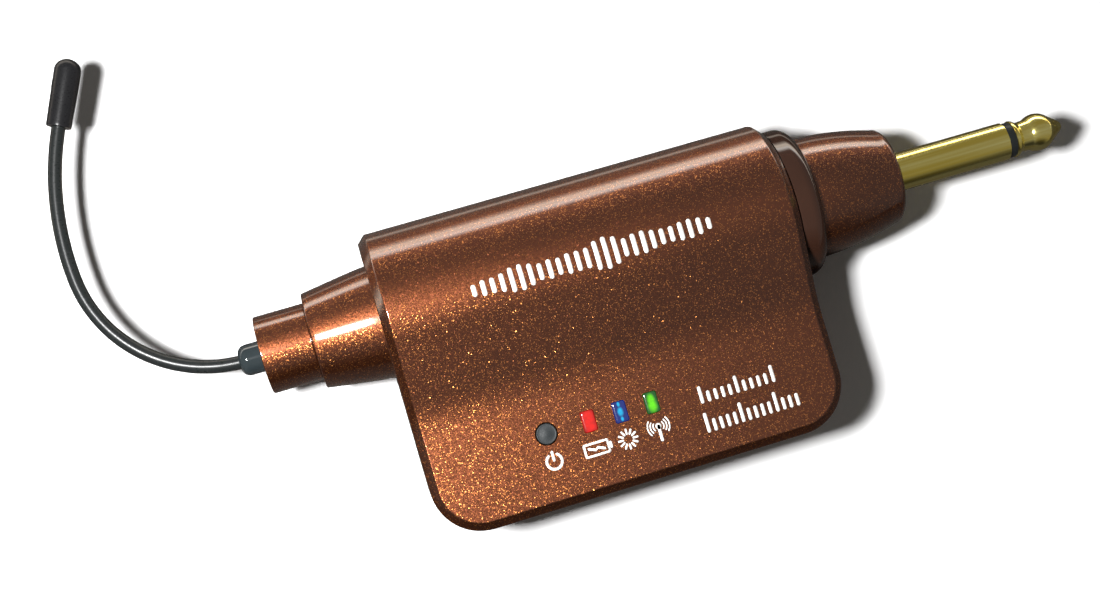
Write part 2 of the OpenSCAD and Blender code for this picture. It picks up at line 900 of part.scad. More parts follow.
front_shell();
back_shell();
case_screws();
trim_ring();
nose_housing();
plug_sleeve();
plug_retainer();
plug_insulator();
plug_tip();
sleeve_tag();
rear_washer();
tip_tag();
sleeve_lead();
tip_lead();
antenna_collar();
antenna_bush();
antenna_nut();
antenna_boot();
antenna_coax();
coax_connector();
whip_root();
whip_link(1);  // whip_link_1
whip_link(2);  // whip_link_2
whip_link(3);  // whip_link_3
whip_link(4);  // whip_link_4
whip_link(5);  // whip_link_5
whip_link(6);  // whip_link_6
whip_link(7);  // whip_link_7
antenna_cap();
power_button();
switch_plunger();
switch_body();
lamp_red();
lamp_blue();
lamp_green();
lamp_legs();
main_board();
board_screws();
radio_shield();
processor_chip();
audio_chip();
charger_chip();
clock_crystal();
board_parts();
charge_socket();
charge_tongue();
battery_cell();
battery_pad();
battery_lead_red();
battery_lead_black();
battery_plug();
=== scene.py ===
"""Looks of the wireless guitar transmitter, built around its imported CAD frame.

Units are metres, in the CAD frame: the origin is the plug's root on the plug's axis, +X runs along the
plug to its tip, +Y from the flat face up to the barrel, and +Z out of the front face.
"""
import json
import math

import bmesh
import bpy
from mathutils import Matrix, Vector


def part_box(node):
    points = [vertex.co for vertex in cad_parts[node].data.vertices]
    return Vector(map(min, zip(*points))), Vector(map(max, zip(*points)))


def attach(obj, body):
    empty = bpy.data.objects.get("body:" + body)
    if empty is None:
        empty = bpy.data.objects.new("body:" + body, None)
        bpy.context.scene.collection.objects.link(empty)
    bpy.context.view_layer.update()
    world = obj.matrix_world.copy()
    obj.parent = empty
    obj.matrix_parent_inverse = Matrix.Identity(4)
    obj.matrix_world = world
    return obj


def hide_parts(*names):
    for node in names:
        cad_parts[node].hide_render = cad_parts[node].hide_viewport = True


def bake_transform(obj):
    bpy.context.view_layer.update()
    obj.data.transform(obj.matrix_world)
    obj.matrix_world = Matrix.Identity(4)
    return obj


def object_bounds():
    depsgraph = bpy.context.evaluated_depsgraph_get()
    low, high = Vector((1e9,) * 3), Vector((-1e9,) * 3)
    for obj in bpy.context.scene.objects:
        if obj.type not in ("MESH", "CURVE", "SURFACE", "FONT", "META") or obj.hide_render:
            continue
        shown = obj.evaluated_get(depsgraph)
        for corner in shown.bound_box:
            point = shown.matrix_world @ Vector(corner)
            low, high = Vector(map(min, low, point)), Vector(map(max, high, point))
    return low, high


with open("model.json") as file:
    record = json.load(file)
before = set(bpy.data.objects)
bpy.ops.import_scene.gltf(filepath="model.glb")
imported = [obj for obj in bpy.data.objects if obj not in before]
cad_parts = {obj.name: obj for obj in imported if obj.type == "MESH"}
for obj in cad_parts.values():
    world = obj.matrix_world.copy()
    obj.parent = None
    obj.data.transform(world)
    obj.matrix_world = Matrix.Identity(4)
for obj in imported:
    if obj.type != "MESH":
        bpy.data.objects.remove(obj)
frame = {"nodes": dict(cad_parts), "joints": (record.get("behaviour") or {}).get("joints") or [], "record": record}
cad_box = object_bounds()

MM = 0.001

# ---- Driving sizes, from the frame ----

back_low, back_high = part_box("back_shell")
CASE_X0 = back_low.x
CASE_X1 = back_high.x
CASE_Y0 = back_low.y
BACK_Z = back_low.z
BARREL_R = back_high.y
NOSE_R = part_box("nose_housing")[1].y
PLUG_R = next(m["dims"]["r_mm"] for m in frame["record"]["mounts"] if m["name"] == "plug") * MM
JOINTS = [Vector(j["pos_m"]) for j in frame["joints"] if j["name"].startswith("antenna_bend_")]
LAMPS = ["lamp_red", "lamp_blue", "lamp_green"]

# How far a lamp's lens stands out of the flat face, and how far its hidden rim reaches past the lens.
LAMP_PROUD = 0.15 * MM
LAMP_RIM = 0.3 * MM
lamp_low, lamp_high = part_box("lamp_red")
FACE_Z = lamp_high.z - LAMP_PROUD
LAMP_W = lamp_high.x - lamp_low.x - 2 * LAMP_RIM
LAMP_L = lamp_high.y - lamp_low.y - 2 * LAMP_RIM

# ---- Sizes that the frame's boxes don't show ----

# The slope between the barrel and the flat face, and the radius where it meets the face.
RAMP = math.radians(19)
BLEND_R = 18 * MM

# The flag's rounded corners.
CORNER_R = 8 * MM
CORNER_Y = CASE_Y0 + CORNER_R

# The case's thickness, the chamfer round its outer edge, and the softness of the chamfer's own corners.
WALL = 1.8 * MM
EDGE = 1.3 * MM
SOFT = 0.16 * MM

# Half of the gap between the case's halves, and the gap round a piece that sits in another.
SEAM = 0.08 * MM
FIT = 0.05 * MM

# The holes in the case's ends, the whip's thickness and its cap.
SPIGOT_R = 8.05 * MM
WHIP_R = 1.1 * MM
CAP_LENGTH = 11 * MM

# Edges that turn by more than this are drawn sharp.
SHARP = math.radians(32)

# A rounded corner has this many steps, and it takes up at most this share of a side next to it.
CORNER_STEPS = 3
CORNER_SHARE = 0.45


# ---- Mesh tools ----

def arc(centre_a, centre_b, radius, start, end, steps):
    """Points on a circular arc, between two angles in radians."""
    points = []
    for i in range(steps + 1):
        angle = start + (end - start) * i / steps
        points.append((centre_a + radius * math.cos(angle), centre_b + radius * math.sin(angle)))
    return points


def curve(a, corner, b, steps=4):
    """Points of the smooth curve that leaves a towards the corner and arrives at b."""
    points = []
    for i in range(steps + 1):
        t = i / steps
        shares = ((1 - t) ** 2, 2 * t * (1 - t), t * t)
        points.append(tuple(sum(s * c for s, c in zip(shares, place)) for place in zip(a, corner, b)))
    return points


def softened(outline, radius, closed=False):
    """An outline with each corner rounded by about a radius, or by less where its sides are short."""
    count = len(outline)
    points = []
    for i, corner in enumerate(outline):
        if not closed and i in (0, count - 1):
            points.append(corner)
            continue
        ends = []
        for other in (outline[i - 1], outline[(i + 1) % count]):
            side = math.dist(corner, other)
            reach = min(radius, CORNER_SHARE * side) / side
            ends.append(tuple(c + (o - c) * reach for c, o in zip(corner, other)))
        points.extend(curve(ends[0], corner, ends[1], CORNER_STEPS))
    return points


def rounded_rectangle(x0, y0, x1, y1, corner, steps=6):
    """A closed rectangle with a quarter circle at each corner."""
    right, left = x1 - corner, x0 + corner
    top, bottom = y1 - corner, y0 + corner
    quarter = math.pi / 2
    points = []
    for i, (x, y) in enumerate([(right, top), (left, top), (left, bottom), (right, bottom)]):
        points += arc(x, y, corner, i * quarter, (i + 1) * quarter, steps)
    return points


def bulged(x0, r0, x1, r1, power=2.0, steps=14):
    """A convex taper from x0 to x1: a straight cone for a power of 1, and rounder for a higher one."""
    return [(x0 + (x1 - x0) * t, r0 + (r1 - r0) * t ** power) for t in (i / steps for i in range(steps + 1))]


def bridge(bm, a, b, closed):
    """Faces between two rows of vertices. A row of one vertex makes a fan."""
    count = max(len(a), len(b))
    for i in range(count if closed else count - 1):
        j = (i + 1) % count
        corners = [a[i % len(a)], a[j % len(a)], b[j % len(b)], b[i % len(b)]]
        distinct = [v for k, v in enumerate(corners) if v not in corners[:k]]
        if len(distinct) > 2:
            bm.faces.new(distinct)


def lathe(bm, outline, place=Matrix.Identity(4), segments=96, closed=False):
    """Turns an outline of (x, radius) points about the local X axis."""
    rings = []
    for x, radius in outline:
        spokes = segments if radius > 0 else 1
        ring = []
        for i in range(spokes):
            angle = 2 * math.pi * i / spokes
            spoke = Vector((x, radius * math.cos(angle), radius * math.sin(angle)))
            ring.append(bm.verts.new(place @ spoke))
        rings.append(ring)
    for a, b in zip(rings, rings[1:] + rings[:1] if closed else rings[1:]):
        bridge(bm, a, b, True)


def make_object(name, bm):
    """A linked object made from finished mesh work."""
    bmesh.ops.recalc_face_normals(bm, faces=bm.faces)
    mesh = bpy.data.meshes.new(name)
    bm.to_mesh(mesh)
    bm.free()
    thing = bpy.data.objects.new(name, mesh)
    bpy.context.scene.collection.objects.link(thing)
    return thing


def stacked(name, rows):
    """A closed solid through rows of places, each of them a closed outline."""
    bm = bmesh.new()
    rings = [[bm.verts.new(place) for place in row] for row in rows]
    for a, b in zip(rings, rings[1:]):
        bridge(bm, a, b, True)
    bm.faces.new(rings[0])
    bm.faces.new(rings[-1])
    return make_object(name, bm)


def dress(piece, material, nodes=(), body=None, even=True):
    """Gives a piece its shading and a slot with its material, hides the CAD nodes that it stands in for, and puts
    it on its body.
    """
    for face in piece.data.polygons:
        face.use_smooth = True
    piece.data.set_sharp_from_angle(angle=SHARP)
    if even:
        piece.modifiers.new("even_shading", "WEIGHTED_NORMAL").keep_sharp = True
    piece.data.materials.append(material)
    if nodes:
        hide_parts(*nodes)
    if body:
        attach(piece, body)
    return piece


def lathed(name, outline, material, nodes, body, place=Matrix.Identity(4), segments=96, closed=False):
    """A turned piece, dressed and riding on its body."""
    bm = bmesh.new()
    lathe(bm, outline, place, segments, closed)
    return dress(make_object(name, bm), material, nodes, body)


def cut(piece, cutters):
    """Cuts each cutter out of a piece and deletes the cutters."""
    for cutter in cutters:
        modifier = piece.modifiers.new("cut", "BOOLEAN")
        modifier.operation = "DIFFERENCE"
        modifier.solver = "EXACT"
        modifier.object = cutter
    bpy.context.view_layer.update()
    evaluated = piece.evaluated_get(bpy.context.evaluated_depsgraph_get())
    mesh = bpy.data.meshes.new_from_object(evaluated)
    mesh.name = piece.name
    piece.modifiers.clear()
    piece.data = mesh
    for cutter in cutters:
        bpy.data.objects.remove(cutter)


# ---- Materials ----

class Graph:
    """A node graph and the coordinates it works in, with short ways to add the nodes used here."""

    def __init__(self, tree, coords):
        self.tree = tree
        self.coords = self.node("ShaderNodeTexCoord").outputs[coords]

    def feed(self, socket, value):
        """Links a node's output to a socket, or sets the socket to a plain value."""
        if isinstance(value, bpy.types.NodeSocket):
            self.tree.links.new(value, socket)
        else:
            socket.default_value = value

    def node(self, kind, inputs=(), **settings):
        """Adds a node, sets its options and feeds its inputs, which are (name or number, value) pairs."""
        made = self.tree.nodes.new(kind)
        for key, value in settings.items():
            setattr(made, key, value)
        for key, value in inputs:
            self.feed(made.inputs[key], value)
        return made

    def maths(self, operation, a, b=0.0):
        return self.node("ShaderNodeMath", [(0, a), (1, b)], operation=operation).outputs[0]

    def vector(self, operation, a, b=(0, 0, 0)):
        return self.node("ShaderNodeVectorMath", [(0, a), (1, b)], operation=operation).outputs[0]

    def span(self, value, from_low, from_high, to_low, to_high):
        """Maps a value from one range to another, held at its ends."""
        inputs = [(0, value), (1, from_low), (2, from_high), (3, to_low), (4, to_high)]
        return self.node("ShaderNodeMapRange", inputs).outputs[0]

    def mix(self, share, a, b):
        """A colour between a and b."""
        made = self.node("ShaderNodeMix", [("Factor", share)], data_type="RGBA")
        self.feed(made.inputs[6], a)
        self.feed(made.inputs[7], b)
        return made.outputs[2]

    def blend(self, share, a, b):
        """A number between a and b."""
        rest = self.maths("SUBTRACT", 1.0, share)
        return self.maths("ADD", self.maths("MULTIPLY", share, b), self.maths("MULTIPLY", rest, a))

    def noise(self, size, detail=3.0, stretch=(1, 1, 1)):
        """Noise whose features are about a size in metres, from 0 to 1."""
        scaled = self.vector("MULTIPLY", self.coords, stretch)
        inputs = [("Vector", scaled), ("Scale", 1 / size), ("Detail", detail)]
        return self.node("ShaderNodeTexNoise", inputs).outputs[0]

    def bump(self, height, depth, strength=1.0):
        """A normal for a surface whose height varies by up to a depth in metres."""
        inputs = [("Strength", strength), ("Distance", depth), ("Height", height)]
        return self.node("ShaderNodeBump", inputs).outputs[0]


class Finish(Graph):
    """A material's node graph around one Principled shader."""

    def __init__(self, name, **inputs):
        self.material = bpy.data.materials.new(name)
        self.material.use_nodes = True
        super().__init__(self.material.node_tree, "Object")
        self.shader = self.tree.nodes["Principled BSDF"]
        for key, value in inputs.items():
            self.feed(self.shader.inputs[key.replace("_", " ")], value)

    def edges(self, radius):
        """1 along the piece's edges and 0 away from them: where a rounded edge's normal would differ."""
        rounded = self.node("ShaderNodeBevel", [("Radius", radius)], samples=4).outputs[0]
        normal = self.node("ShaderNodeNewGeometry").outputs["Normal"]
        compared = self.node("ShaderNodeVectorMath", [(0, rounded), (1, normal)], operation="DOT_PRODUCT")
        return self.span(compared.outputs["Value"], 0.99, 0.9, 0.0, 1.0)

    def set(self, key, value):
        self.feed(self.shader.inputs[key], value)


class Room(Graph):
    """The surroundings. Their strength differs for what they light, for the camera and in mirrors."""

    def __init__(self, diffuse, seen):
        world = bpy.data.worlds.new("studio")
        world.use_nodes = True
        bpy.context.scene.world = world
        super().__init__(world.node_tree, "Generated")
        self.diffuse = diffuse
        self.seen = seen

    def light(self, mirrored):
        """Sets the strengths, the mirrored one being worked out from the direction that a mirror looks in."""
        path = self.node("ShaderNodeLightPath")
        others = self.blend(path.outputs["Is Camera Ray"], self.diffuse, self.seen)
        background = self.tree.nodes["Background"]
        background.inputs[0].default_value = rgb(1.0, 0.95, 0.88)
        self.feed(background.inputs[1], self.blend(path.outputs["Is Glossy Ray"], others, mirrored))


def rgb(red, green, blue):
    return (red, green, blue, 1)


def flake_paint(name, deep, bright, spark):
    """Metallic paint: fine tilted flakes of varied colour under a smooth clear coat, some flakes painted in a
    bright spark colour as painted glints.
    """
    finish = Finish(name, Metallic=0.92, Coat_Weight=1.0, Coat_Roughness=0.1, Coat_IOR=1.6)
    flake = 0.11 * MM
    cells = finish.node("ShaderNodeTexVoronoi", [("Vector", finish.coords), ("Scale", 1 / flake)])
    chance = cells.outputs["Color"]
    tone_chance, glint_chance, lean_chance = finish.node("ShaderNodeSeparateColor", [(0, chance)]).outputs

    drift = finish.noise(9 * MM)
    tone = finish.blend(0.3, tone_chance, drift)
    # Flakes whose glint chance is above 0.9 are painted towards the spark colour: painted glints, lit or not.
    glint = finish.span(glint_chance, 0.9, 0.98, 0.0, 1.0)
    colour = finish.mix(glint, finish.mix(tone, deep, bright), spark)
    # Along the edges the spark colour is mixed in: edge wear and a painted edge highlight.
    edge_wear_and_highlight = finish.maths("MULTIPLY", finish.edges(0.25 * MM), 0.12)
    finish.set("Base Color", finish.mix(edge_wear_and_highlight, colour, spark))
    finish.set("Roughness", finish.span(glint_chance, 0.85, 0.98, 0.4, 0.34))

    normal = finish.node("ShaderNodeNewGeometry").outputs["Normal"]
    lean = finish.span(lean_chance, 0.9, 1.0, 0.24, 0.9)
    tilt = finish.vector("MULTIPLY", finish.vector("SUBTRACT", chance, (0.5, 0.5, 0.5)), lean)
    finish.set("Normal", finish.vector("NORMALIZE", finish.vector("ADD", normal, tilt)))
    finish.set("Coat Normal", finish.bump(finish.noise(1.6 * MM, 2.0), 0.02 * MM, 0.12))
    return finish.material


def plain(name, colour, roughness=0.5, metallic=0.0, grain=0.4 * MM, depth=0.01 * MM, coat=0.0,
          contrast=0.25, shine=0.5):
    """A moulded, rolled or plated surface: its colour drifts, its roughness varies, its grain shows."""
    finish = Finish(name, Metallic=metallic, Coat_Weight=coat, Coat_Roughness=0.08, Specular_IOR_Level=shine)
    fine = finish.noise(grain, 4.0)
    broad = finish.noise(14 * grain)
    dark = rgb(*(c * (1 - contrast) for c in colour))
    light = rgb(*(min(1.0, c * (1 + contrast)) for c in colour))
    # Along the edges the colour moves towards a pale grey: edge wear and a painted edge highlight.
    rubbed_and_highlit = rgb(*(0.7 * c + 0.1 for c in colour))
    edge_wear_and_highlight = finish.maths("MULTIPLY", finish.edges(0.12 * MM), 0.2)
    finish.set("Base Color", finish.mix(edge_wear_and_highlight, finish.mix(broad, dark, light), rubbed_and_highlit))
    finish.set("Roughness", finish.span(fine, 0.3, 0.7, roughness * 0.85, min(1.0, roughness * 1.15)))
    finish.set("Normal", finish.bump(fine, depth, 0.6))
    return finish.material


def plated_gold(name):
    """Polished gold plate with fine marks along the plug's axis, and pale and deep gold stripes along it that are
    painted reflections.
    """
    finish = Finish(name, Metallic=1.0)
    drawn_marks_and_reflections = finish.noise(1.1 * MM, 2.0, (0.02, 1, 1))
    fine = finish.noise(0.5 * MM)
    # Lengthwise stripes of pale and deep gold: painted reflections, over the bump of the drawn marks.
    reflection_streaks = finish.span(drawn_marks_and_reflections, 0.38, 0.62, 0.0, 1.0)
    colour = finish.mix(reflection_streaks, rgb(0.78, 0.62, 0.12), rgb(1.0, 0.92, 0.36))
    # Pale gold along the edges: edge wear and a painted edge highlight.
    edge_wear_and_highlight = finish.maths("MULTIPLY", finish.edges(0.1 * MM), 0.4)
    finish.set("Base Color", finish.mix(edge_wear_and_highlight, colour, rgb(1.0, 0.94, 0.7)))
    finish.set("Roughness", finish.span(fine, 0.3, 0.7, 0.12, 0.2))
    finish.set("Normal", finish.bump(drawn_marks_and_reflections, 0.01 * MM, 0.5))
    return finish.material


def lit_lens(name, rim_colour, core_colour, spots):
    """A tinted lens lit from inside. Spots are (place, reach) pairs, as shares of the lens's length."""
    finish = Finish(name, Roughness=0.12, Coat_Weight=1.0, Coat_Roughness=0.03)
    generated = finish.node("ShaderNodeTexCoord").outputs["Generated"]
    x, y, _ = finish.node("ShaderNodeSeparateXYZ", [(0, generated)]).outputs
    across = finish.maths("POWER", finish.maths("ABSOLUTE", finish.maths("SUBTRACT", x, 0.5)), 2.0)
    glow = 0.0
    for place, reach in spots:
        along = finish.maths("POWER", finish.maths("ABSOLUTE", finish.maths("SUBTRACT", y, place)), 2.0)
        distance = finish.maths("SQRT", finish.maths("ADD", across, along))
        glow = finish.maths("MAXIMUM", glow, finish.span(distance, reach, 0.4 * reach, 0.0, 1.0))
    finish.set("Base Color", rgb(0.01, 0.01, 0.01))
    finish.set("Emission Color", finish.mix(glow, rim_colour, core_colour))
    finish.set("Emission Strength", finish.span(finish.noise(0.5 * MM), 0.3, 0.7, 0.8, 1.15))
    finish.set("Normal", finish.bump(finish.noise(0.7 * MM), 0.02 * MM, 0.3))
    return finish.material


# The case paint's third colour is painted into the glint flakes and along the edges: painted glints, and edge wear
# with a painted edge highlight.
PAINT = flake_paint("case_paint", rgb(0.045, 0.011, 0.004), rgb(0.15, 0.038, 0.01), rgb(0.5, 0.18, 0.045))
TRIM = plain("trim_gloss", (0.03, 0.012, 0.007), 0.25, grain=0.8 * MM, coat=1.0, shine=0.0)
GOLD = plated_gold("gold_plate")
INSULATOR = plain("insulator", (0.012, 0.014, 0.014), 0.4, shine=0.2)
WHIP = plain("whip_rubber", (0.012, 0.014, 0.014), 0.3, grain=0.3 * MM, shine=0.3)
CAP = plain("cap_vinyl", (0.01, 0.01, 0.011), 0.3, grain=0.25 * MM, depth=0.02 * MM, shine=0.2)
BOOT = plain("boot_gloss", (0.02, 0.027, 0.03), 0.12, grain=0.9 * MM, coat=1.0, shine=0.0)
BUTTON = plain("button_grey", (0.022, 0.026, 0.028), 0.5, grain=0.3 * MM, depth=0.03 * MM, contrast=0.6,
               shine=0.25)
PRINT = plain("print_white", (0.85, 0.84, 0.8), 0.45, grain=0.15 * MM, contrast=0.06)
RED_SPOTS = [(0.35, 0.6), (0.65, 0.6)]
RED_LAMP = lit_lens("lamp_red", rgb(0.3, 0.0, 0.0), rgb(1.0, 0.005, 0.0), RED_SPOTS)
BLUE_SPOTS = [(0.5, 0.26), (0.86, 0.14), (0.16, 0.14)]
BLUE_LAMP = lit_lens("lamp_blue", rgb(0.0, 0.02, 0.22), rgb(0.0, 0.55, 1.0), BLUE_SPOTS)
GREEN_SPOTS = [(0.35, 0.42), (0.62, 0.36)]
GREEN_LAMP = lit_lens("lamp_green", rgb(0.003, 0.11, 0.01), rgb(0.15, 0.95, 0.0), GREEN_SPOTS)


# ---- Case ----

# How far a cutter reaches past what it cuts.
FAR = 1 * MM
# How far the mouth of a drilled hole flares.
LIP = 0.12 * MM
BUTTON_HOLE_R = 1.7 * MM
LAMP_GAP = 0.06 * MM
SOCKET_GAP = 0.35 * MM
SCREW_HEAD_R = 2 * MM
SCREW_R = 1.1 * MM
UNDER_HEAD = 0.3 * MM


def crease_y(depth=0.0):
    """Where the ramp's plane would meet the flat face's plane, at a depth under the front."""
    return ((FACE_Z - depth) * math.cos(RAMP) - (BARREL_R - depth)) / math.sin(RAMP)


def front_section(depth):
    """Points (y, z) at a depth under the front, from the barrel's seam over its crest to the flat face."""
    face = FACE_Z - depth
    blend = BLEND_R + depth
    flat_start = crease_y(depth) - blend * math.tan(RAMP / 2)
    barrel = arc(0, 0, BARREL_R - depth, SEAM / BARREL_R, math.pi / 2 + RAMP, 48)
    hollow = arc(flat_start, face + blend, blend, RAMP - math.pi / 2, -math.pi / 2, 8)
    return barrel + hollow + [(CORNER_Y, face)]


def back_section(depth):
    """Points (y, z) at a depth under the back, from the barrel's seam round to the flat back."""
    radius = BARREL_R - depth
    flat = BACK_Z + depth
    barrel = arc(0, 0, radius, -SEAM / BARREL_R, math.asin(flat / radius), 30)
    return barrel + [(CORNER_Y, flat)]


def rim(section, inset, depth):
    """The case's outline at a depth under its surface, inset from its sides, from left end to right end."""
    profile = section(depth)
    level = profile[-1][1]
    radius = CORNER_R - inset
    left_corner = arc(CASE_X0 + CORNER_R, CORNER_Y, radius, math.pi, 1.5 * math.pi, 16)
    right_corner = arc(CASE_X1 - CORNER_R, CORNER_Y, radius, 1.5 * math.pi, 2 * math.pi, 16)
    points = [(CASE_X0 + inset, y, z) for y, z in profile]
    points += [(x, y, level) for x, y in left_corner[1:] + right_corner[:-1]]
    points += [(CASE_X1 - inset, y, z) for y, z in reversed(profile)]
    return [Vector(p) for p in points]


def half_solid(name, section, edge_steps, seam_z, mouth_z, shrink):
    """Closed solid from the seam to one side's surface. Edge steps are (inset, depth) pairs from the side
    wall to the surface; the seam's own edge is drawn in by a small amount at mouth_z."""
    bm = bmesh.new()
    rows = [[bm.verts.new(p) for p in rim(section, inset, depth)] for inset, depth in edge_steps]
    for a, b in zip(rows, rows[1:]):
        bridge(bm, a, b, False)
    outer, top = rows[0], rows[-1]
    last = len(section(0)) - 1
    flat = last - 1
    for k in range(flat):
        bm.faces.new([top[k], top[k + 1], top[-2 - k], top[-1 - k]])
    bm.faces.new(top[flat:len(top) - flat])
    wall = [bm.verts.new((v.co.x, v.co.y, seam_z)) for v in outer[last:len(outer) - last]]
    bridge(bm, outer[last:len(outer) - last], wall, False)
    bm.faces.new(outer[:last + 1] + [wall[0]])
    bm.faces.new([wall[-1]] + outer[len(outer) - last - 1:])
    edge = wall + [row[-1] for row in rows] + [row[0] for row in reversed(rows)]
    middle = Vector(((CASE_X0 + CASE_X1) / 2, (CASE_Y0 + BARREL_R) / 2, 0))
    half = Vector((CASE_X1 - CASE_X0, BARREL_R - CASE_Y0, 0)) / 2
    mouth = []
    for v in edge:
        away = v.co - middle
        x = v.co.x - away.x * shrink / half.x
        y = v.co.y - away.y * shrink / half.y
        mouth.append(bm.verts.new((x, y, mouth_z)))
    bridge(bm, edge, mouth, True)
    bm.faces.new(mouth)
    return make_object(name, bm)


def chamfer_steps():
    """The case's outer edge: a chamfer whose two corners are softly rounded."""
    slant = SOFT * math.sqrt(0.5)
    low = curve((0, EDGE + SOFT), (0, EDGE), (slant, EDGE - slant), CORNER_STEPS)
    high = curve((EDGE - slant, slant), (EDGE, 0), (EDGE + SOFT, 0), CORNER_STEPS)
    return low + high


def round_cutter(x, y, z0, z1, radius, flare):
    """Cutter for an upright hole whose mouth at z1 flares out."""
    bm = bmesh.new()
    depth = z1 - z0
    out = math.copysign(flare, depth)
    mouth_r = radius + 2 * flare
    outline = [(0, 0), (0, radius), (depth - out, radius), (depth + out, mouth_r), (depth + out, 0)]
    place = Matrix.Translation((x, y, z0)) @ Matrix.Rotation(-math.pi / 2, 4, "Y")
    lathe(bm, outline, place, 64)
    return make_object("cutter", bm)


def axle_cutter(x0, x1, radius):
    """Cutter for a round hole along the plug's axis."""
    bm = bmesh.new()
    lathe(bm, [(x0, 0), (x0, radius), (x1, radius), (x1, 0)], segments=64)
    return make_object("cutter", bm)


def spigot_cutters():
    """Cutters for the holes in the case's ends, where the collar and the nose are seated."""
    return [axle_cutter(CASE_X0 - FAR, CASE_X0 + WALL + FAR, SPIGOT_R),
            axle_cutter(CASE_X1 - WALL - FAR, CASE_X1 + FAR, SPIGOT_R)]


def lamp_cutter(lamp):
    """Cutter for a lamp's window in the flat face."""
    middle = centre(lamp)
    half = Vector((LAMP_W, LAMP_L)) / 2 + Vector((LAMP_GAP, LAMP_GAP))
    outline = rounded_rectangle(middle.x - half.x, middle.y - half.y, middle.x + half.x, middle.y + half.y,
                                0.35 * MM)
    return stacked("cutter", [[(x, y, z) for x, y in outline] for z in (FACE_Z - WALL - FAR, FACE_Z + FAR)])


def socket_cutter():
    """Cutter for the charging socket's opening in the right end."""
    low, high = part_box("charge_socket")
    outline = rounded_rectangle(low.y - SOCKET_GAP, low.z - SOCKET_GAP,
                                high.y + SOCKET_GAP, high.z + SOCKET_GAP, 0.9 * MM)
    return stacked("cutter", [[(x, y, z) for y, z in outline] for x in (CASE_X1 - WALL - FAR, CASE_X1 + FAR)])


def centre(node):
    """Middle of a CAD node's box."""
    low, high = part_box(node)
    return (low + high) / 2


def screw_places():
    """Middles of the four case screws, one in each quarter of their node's box."""
    middle = centre("case_screws")
    quarters = {}
    for vertex in frame["nodes"]["case_screws"].data.vertices:
        quarter = (vertex.co.x > middle.x, vertex.co.y > middle.y)
        quarters.setdefault(quarter, []).append(vertex.co)
    places = []
    for quarter in sorted(quarters):
        xs = [place.x for place in quarters[quarter]]
        ys = [place.y for place in quarters[quarter]]
        places.append(((min(xs) + max(xs)) / 2, (min(ys) + max(ys)) / 2))
    return places


def build_front():
    """The painted front half, with holes for the nose, the collar, the button, the lamps and the socket."""
    front = half_solid("front_cover", front_section, chamfer_steps(), SEAM, 0, SEAM)
    button = centre("power_button")
    cutters = [half_solid("cutter", front_section, [(WALL, WALL)], 0, -FAR, 0)] + spigot_cutters()
    cutters.append(round_cutter(button.x, button.y, FACE_Z - WALL - FAR, FACE_Z, BUTTON_HOLE_R, LIP))
    cutters += [lamp_cutter(lamp) for lamp in LAMPS]
    cutters.append(socket_cutter())
    cut(front, cutters)
    dress(front, PAINT, ["front_shell"], "case")


def build_back():
    """The painted back half, with recessed holes for its screws."""
    back = half_solid("back_cover", back_section, chamfer_steps(), -SEAM, 0, SEAM)
    cutters = [half_solid("cutter", back_section, [(WALL, WALL)], 0, FAR, 0)] + spigot_cutters()
    for x, y in screw_places():
        cutters.append(round_cutter(x, y, BACK_Z + WALL - UNDER_HEAD, BACK_Z, SCREW_HEAD_R, LIP))
        cutters.append(round_cutter(x, y, BACK_Z + WALL + FAR, BACK_Z, SCREW_R, 0.01 * MM))
    cut(back, cutters)
    dress(back, PAINT, ["back_shell"], "case")


# ---- Turned pieces along the plug's axis ----

# Where the plug's sleeve starts inside the nose.
PLUG_ROOT = -8 * MM
SEAT_R = SPIGOT_R - FIT
INSULATOR_CORE_R = 1.9 * MM
BUSH_BORE = 3 * MM
# The hole through the bush for the whip's lead.
SIGNAL_HOLE_R = 1.15 * MM


def build_ring():
    """The glossy trim ring: a straight band, then a shoulder that curves down to the nose."""
    low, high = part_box("trim_ring")
    bore = 8.5 * MM
    crest = low.x + 2 * MM
    fall = high.y - NOSE_R
    quarter = arc(0, 0, 1, math.pi / 2, 0.1, 12)
    slope = [(crest + (high.x - crest) * along, high.y - fall * (1 - up)) for along, up in quarter]
    rear = softened([(low.x, bore), (low.x, high.y), (crest, high.y)], 0.35 * MM)[:-1]
    outline = rear + slope + [(high.x, NOSE_R - 0.5 * MM), (high.x, bore)]
    lathed("trim_ring_gloss", outline, TRIM, ["trim_ring"], "case", closed=True)


def build_nose():
    """The nose: a convex taper to a rounded face, bored for the plug, with a thinner neck in the case."""
    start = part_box("trim_ring")[1].x + FIT
    face_r = 7.95 * MM
    round_r = 1.3 * MM
    bore = PLUG_R + 0.12 * MM
    core_r = bore + 2.3 * MM
    neck = [(start, SEAT_R), (start, NOSE_R - 0.3 * MM)]
    taper = bulged(start, NOSE_R, -round_r, face_r)
    face = arc(-round_r, face_r - round_r, round_r, math.radians(80), 0, 8)
    mouth = softened([face[-1], (0, bore), (PLUG_ROOT, bore)], 0.15 * MM)[1:]
    rear = [(PLUG_ROOT, core_r), (CASE_X1 - WALL, core_r), (CASE_X1 - WALL, SEAT_R)]
    outline = neck + taper + face + mouth + rear
    lathed("nose", outline, PAINT, ["nose_housing"], "case", closed=True)


def build_plug_sleeve():
    """The plug's gold sleeve, from inside the nose to the insulator."""
    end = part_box("plug_sleeve")[1].x
    bore = 2 * MM
    outline = softened([(PLUG_ROOT, bore), (PLUG_ROOT, PLUG_R), (end, PLUG_R), (end, bore)], 0.12 * MM, True)
    lathed("plug_sleeve_plated", outline, GOLD, ["plug_sleeve"], "case", closed=True)


